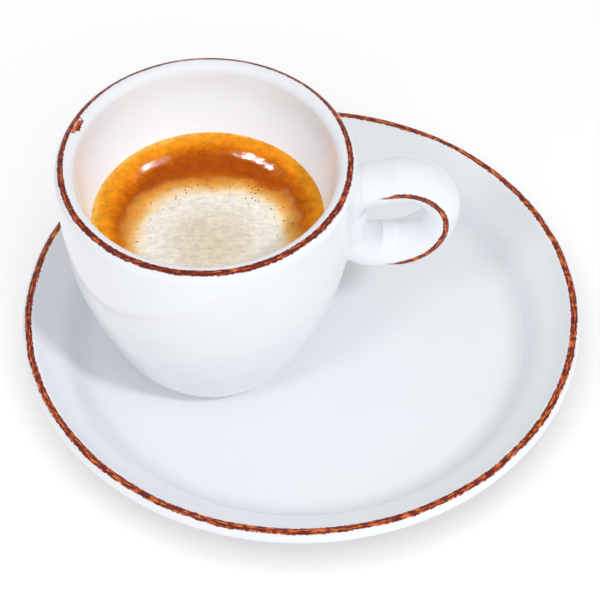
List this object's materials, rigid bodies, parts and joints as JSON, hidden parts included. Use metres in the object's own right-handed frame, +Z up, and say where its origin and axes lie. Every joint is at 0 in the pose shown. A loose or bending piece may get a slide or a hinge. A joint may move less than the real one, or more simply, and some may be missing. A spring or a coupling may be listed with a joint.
{
  "type": "espresso macchiato in cup and saucer",
  "caption": "Espresso macchiato: crema with a patch of milk foam in a thick-walled porcelain cup with an ear handle, standing off centre on its saucer; brown painted rims.",
  "frame": {"origin": "on the table, under the middle of the saucer's foot ring", "axes": "+Z up out of the cup; +X the way the cup's handle points; the cup stands off centre towards -X"},
  "size_m": [0.123, 0.123, 0.0645],
  "materials": {
    "saucer_porcelain": "glossy white glaze, hand-brushed brown line on the rim",
    "cup_porcelain": "glossy white glaze, hand-brushed brown line on the rim and handle",
    "coffee": null,
    "foam": null
  },
  "bodies": {
    "root": {"saucer": "saucer_porcelain", "cup": "cup_porcelain", "espresso": "coffee", "milk_foam": "foam"}
  },
  "joints": []
}
